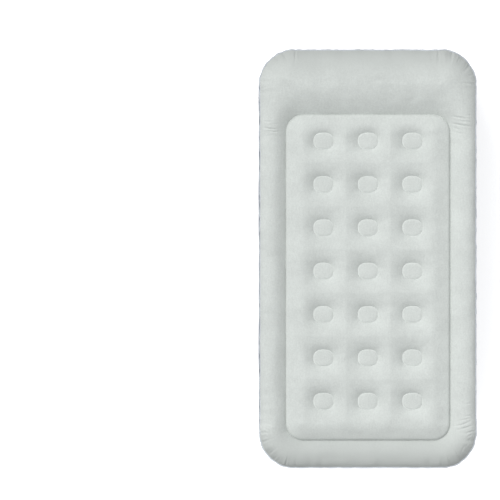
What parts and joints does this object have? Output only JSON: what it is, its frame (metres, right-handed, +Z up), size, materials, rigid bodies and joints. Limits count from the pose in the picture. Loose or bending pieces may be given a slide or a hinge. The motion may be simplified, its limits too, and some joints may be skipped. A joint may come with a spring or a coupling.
{
  "type": "air mattress",
  "caption": "Raised inflated single air mattress with a flocked dimpled top, built-in pillow, navy tiered side wall, recessed electric pump with a dial, and a screw valve.",
  "frame": {"origin": "middle of the mattress's footprint, at the height of its underside on the floor", "axes": "+Z up, +Y along the mattress towards the pillow, +X across it; the pump and valve are on the -Y end"},
  "size_m": [0.99, 1.905, 0.488],
  "materials": {
    "navy_pvc": "soft navy PVC film, satin with a fine embossed grain",
    "flocked_pvc": "pale grey-green flocked PVC, short matt nap",
    "inner_pvc": "plain PVC film",
    "grey_plastic": "dark grey moulded plastic, fine spark texture",
    "gloss_black": "glossy black moulded plastic",
    "white_plastic": "natural moulded nylon",
    "valve_plastic": "near-black navy moulded plastic, semi-gloss",
    "black_rubber": "soft black rubber",
    "clear_rubber": "thin milky silicone",
    "screw_steel": "zinc-plated steel",
    "white_ink": "white screen-printed ink"
  },
  "bodies": {
    "mattress": {"bottom_sheet": "navy_pvc", "lower_wall": "navy_pvc", "middle_wall": "navy_pvc", "upper_wall": "navy_pvc", "border_sheet": "flocked_pvc", "sleeping_panel": "flocked_pvc", "top_seam_weld": "navy_pvc", "bottom_seam_weld": "navy_pvc", "upper_diaphragm": "inner_pvc", "lower_diaphragm": "inner_pvc", "coil_beams": "inner_pvc", "baffle_ring": "inner_pvc", "middle_beams": "inner_pvc", "lower_beams": "inner_pvc", "pump_frame": "navy_pvc", "clamp_frame": "grey_plastic", "fascia_gasket": "black_rubber", "pump_housing": "grey_plastic", "fascia_plate": "grey_plastic", "dial_plate": "gloss_black", "fascia_screws": "screw_steel", "door_pin": "screw_steel", "cord_gland": "black_rubber", "air_sleeve": "grey_plastic", "fan_scroll": "grey_plastic", "motor_can": "screw_steel", "cut_off_switch": "gloss_black", "outlet_flap_pin": "screw_steel", "valve_flange": "navy_pvc", "valve_body": "valve_plastic", "flapper_pin": "screw_steel", "left_print": "white_ink", "right_print": "white_ink"},
    "dial": {"dial_knob": "grey_plastic", "selector_drum": "grey_plastic"},
    "cord_door": {"cord_door": "grey_plastic"},
    "fan": {"fan_impeller": "white_plastic", "motor_shaft": "screw_steel"},
    "outlet_flap": {"outlet_flap": "clear_rubber"},
    "cap_seal": {"cap_seal": "black_rubber"},
    "valve_cap": {"valve_cap": "valve_plastic"},
    "valve_flapper": {"valve_flapper": "clear_rubber"}
  },
  "joints": [
    {"name": "dial_turn", "type": "hinge", "parent": "mattress", "child": "dial", "pos_m": [0.12, -0.9385, 0.236], "axis": [0, 1, 0], "range_deg": [-55, 55]},
    {"name": "cord_door_swing", "type": "hinge", "parent": "mattress", "child": "cord_door", "pos_m": [0.024, -0.9355, 0.1972], "axis": [1, 0, 0], "range_deg": [0, 110]},
    {"name": "fan_spin", "type": "hinge", "parent": "mattress", "child": "fan", "pos_m": [0.12, -0.8825, 0.236], "axis": [0, 1, 0], "continuous": true},
    {"name": "outlet_flap_swing", "type": "hinge", "parent": "mattress", "child": "outlet_flap", "pos_m": [0.12, -0.8685, 0.2844], "axis": [-1, 0, 0], "range_deg": [0, 60]},
    {"name": "cap_lift", "type": "slide", "parent": "mattress", "child": "cap_seal", "axis": [0, -1, 0], "range_m": [0, 0.00905]},
    {"name": "cap_turn", "type": "hinge", "parent": "cap_seal", "child": "valve_cap", "pos_m": [-0.114, -0.9445, 0.24], "axis": [0, -1, 0], "range_deg": [0, 810]},
    {"name": "valve_flapper_swing", "type": "hinge", "parent": "mattress", "child": "valve_flapper", "pos_m": [-0.114, -0.9131, 0.2596], "axis": [1, 0, 0], "range_deg": [0, 65]}
  ],
  "couplings": [
    {"joint": "cap_lift", "follows": "cap_turn", "m_per_rad": 0.00063662}
  ]
}
